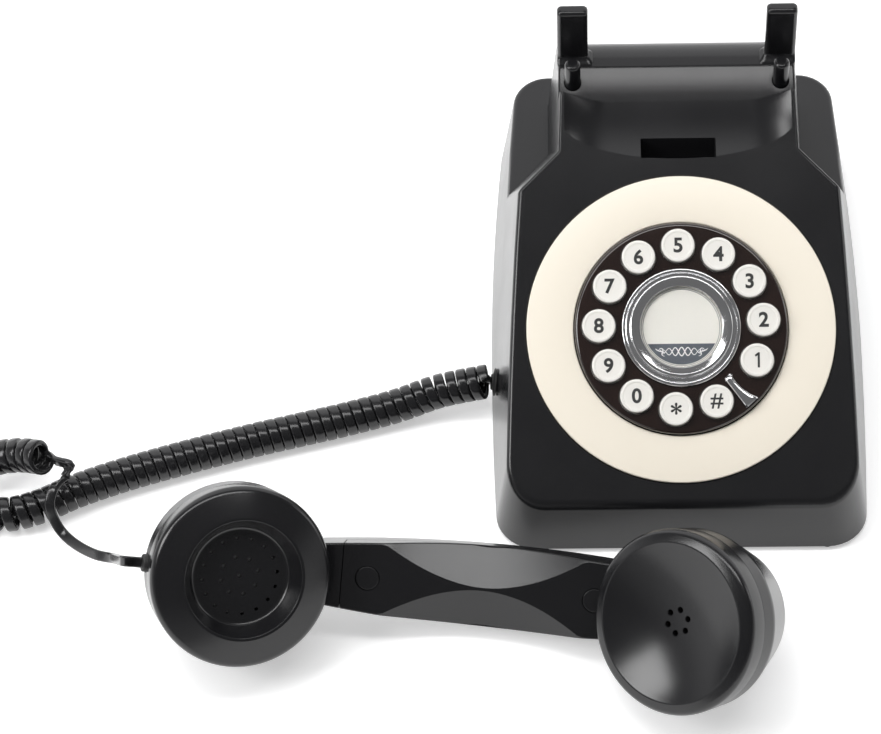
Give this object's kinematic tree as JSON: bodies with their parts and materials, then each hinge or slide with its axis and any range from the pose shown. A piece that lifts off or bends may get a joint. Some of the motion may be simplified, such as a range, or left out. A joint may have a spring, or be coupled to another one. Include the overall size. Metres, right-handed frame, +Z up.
{
  "type": "recording desk telephone",
  "caption": "Desk telephone that records guests' spoken messages, with a round push-button dial, a sprung hook, and a handset on a curly cord.",
  "frame": {"origin": "on the table, under the middle of the bounds of the body and the handset together, without the cord", "axes": "+Z up; the body's front and the handset lie at -Y; +X is to the right of someone who faces the keypad"},
  "size_m": [0.3383, 0.2752, 0.1202],
  "materials": {
    "black_plastic": "satin moulded plastic",
    "black_gloss": "gloss moulded plastic",
    "cream_plastic": "satin moulded plastic",
    "white_plastic": "satin moulded plastic",
    "chrome": "polished plating",
    "steel": "plain steel",
    "card": "printed card",
    "clear_plastic": "clear moulded plastic",
    "rubber": "moulded rubber",
    "silicone": "moulded silicone",
    "circuit_green": "coated circuit board",
    "battery_wrap": "shrink wrap over cells",
    "cord_black": "smooth cord sheath"
  },
  "bodies": {
    "telephone_body": {"base_plate": "black_plastic", "base_screw_1": "steel", "base_screw_2": "steel", "base_screw_3": "steel", "base_screw_4": "steel", "battery_pack": "battery_wrap", "body_shell": "black_plastic", "center_bezel": "chrome", "charging_socket": "steel", "cord_curl": "cord_black", "cord_lead": "cord_black", "cord_outlet": "rubber", "dial_ring": "cream_plastic", "finger_stop": "chrome", "foot_1": "rubber", "foot_2": "rubber", "foot_3": "rubber", "foot_4": "rubber", "hook_spring": "steel", "hook_switch": "black_gloss", "keypad_board": "circuit_green", "keypad_disc": "black_gloss", "keypad_mat": "silicone", "label_card": "card", "label_window": "clear_plastic", "main_board": "circuit_green", "power_switch": "black_gloss"},
    "handset": {"handset_back_shell": "black_plastic", "handset_cover": "black_plastic", "screw_plug_1": "black_plastic", "screw_plug_2": "black_plastic", "handle_screw_1": "steel", "handle_screw_2": "steel", "handset_weight": "steel", "mic_cap": "black_plastic", "ear_cap": "black_plastic", "microphone_capsule": "steel", "ear_speaker": "black_gloss", "handset_inlet": "rubber"},
    "hook": {"hook_bar": "black_plastic", "hook_plunger_left": "black_plastic", "hook_plunger_right": "black_plastic"},
    "power_knob": {"power_switch_knob": "white_plastic"},
    "button_1_key": {"button_1": "white_plastic"},
    "button_2_key": {"button_2": "white_plastic"},
    "button_3_key": {"button_3": "white_plastic"},
    "button_4_key": {"button_4": "white_plastic"},
    "button_5_key": {"button_5": "white_plastic"},
    "button_6_key": {"button_6": "white_plastic"},
    "button_7_key": {"button_7": "white_plastic"},
    "button_8_key": {"button_8": "white_plastic"},
    "button_9_key": {"button_9": "white_plastic"},
    "button_0_key": {"button_0": "white_plastic"},
    "button_star_key": {"button_star": "white_plastic"},
    "button_hash_key": {"button_hash": "white_plastic"}
  },
  "joints": [
    {"name": "button_1_press", "type": "slide", "parent": "telephone_body", "child": "button_1_key", "axis": [0, 0.4675, -0.884], "range_m": [0, 0.0015], "stiffness_N_per_m": 300, "springref_m": -0.0005, "deforming": ["keypad_mat"]},
    {"name": "button_2_press", "type": "slide", "parent": "telephone_body", "child": "button_2_key", "axis": [0, 0.4675, -0.884], "range_m": [0, 0.0015], "stiffness_N_per_m": 300, "springref_m": -0.0005, "deforming": ["keypad_mat"]},
    {"name": "button_3_press", "type": "slide", "parent": "telephone_body", "child": "button_3_key", "axis": [0, 0.4675, -0.884], "range_m": [0, 0.0015], "stiffness_N_per_m": 300, "springref_m": -0.0005, "deforming": ["keypad_mat"]},
    {"name": "button_4_press", "type": "slide", "parent": "telephone_body", "child": "button_4_key", "axis": [0, 0.4675, -0.884], "range_m": [0, 0.0015], "stiffness_N_per_m": 300, "springref_m": -0.0005, "deforming": ["keypad_mat"]},
    {"name": "button_5_press", "type": "slide", "parent": "telephone_body", "child": "button_5_key", "axis": [0, 0.4675, -0.884], "range_m": [0, 0.0015], "stiffness_N_per_m": 300, "springref_m": -0.0005, "deforming": ["keypad_mat"]},
    {"name": "button_6_press", "type": "slide", "parent": "telephone_body", "child": "button_6_key", "axis": [0, 0.4675, -0.884], "range_m": [0, 0.0015], "stiffness_N_per_m": 300, "springref_m": -0.0005, "deforming": ["keypad_mat"]},
    {"name": "button_7_press", "type": "slide", "parent": "telephone_body", "child": "button_7_key", "axis": [0, 0.4675, -0.884], "range_m": [0, 0.0015], "stiffness_N_per_m": 300, "springref_m": -0.0005, "deforming": ["keypad_mat"]},
    {"name": "button_8_press", "type": "slide", "parent": "telephone_body", "child": "button_8_key", "axis": [0, 0.4675, -0.884], "range_m": [0, 0.0015], "stiffness_N_per_m": 300, "springref_m": -0.0005, "deforming": ["keypad_mat"]},
    {"name": "button_9_press", "type": "slide", "parent": "telephone_body", "child": "button_9_key", "axis": [0, 0.4675, -0.884], "range_m": [0, 0.0015], "stiffness_N_per_m": 300, "springref_m": -0.0005, "deforming": ["keypad_mat"]},
    {"name": "button_0_press", "type": "slide", "parent": "telephone_body", "child": "button_0_key", "axis": [0, 0.4675, -0.884], "range_m": [0, 0.0015], "stiffness_N_per_m": 300, "springref_m": -0.0005, "deforming": ["keypad_mat"]},
    {"name": "button_star_press", "type": "slide", "parent": "telephone_body", "child": "button_star_key", "axis": [0, 0.4675, -0.884], "range_m": [0, 0.0015], "stiffness_N_per_m": 300, "springref_m": -0.0005, "deforming": ["keypad_mat"]},
    {"name": "button_hash_press", "type": "slide", "parent": "telephone_body", "child": "button_hash_key", "axis": [0, 0.4675, -0.884], "range_m": [0, 0.0015], "stiffness_N_per_m": 300, "springref_m": -0.0005, "deforming": ["keypad_mat"]},
    {"name": "hook_press", "type": "slide", "parent": "telephone_body", "child": "hook", "axis": [0, 0, -1], "range_m": [0, 0.006], "stiffness_N_per_m": 120, "springref_m": -0.002, "deforming": ["hook_spring"]},
    {"name": "power_switch_slide", "type": "slide", "parent": "telephone_body", "child": "power_knob", "axis": [1, 0, 0], "range_m": [0, 0.003]},
    {"name": "handset_lift", "type": "slide", "parent": "telephone_body", "child": "handset", "axis": [0.2873, -0.6587, 0.6954], "range_m": [0, 0.1]}
  ]
}
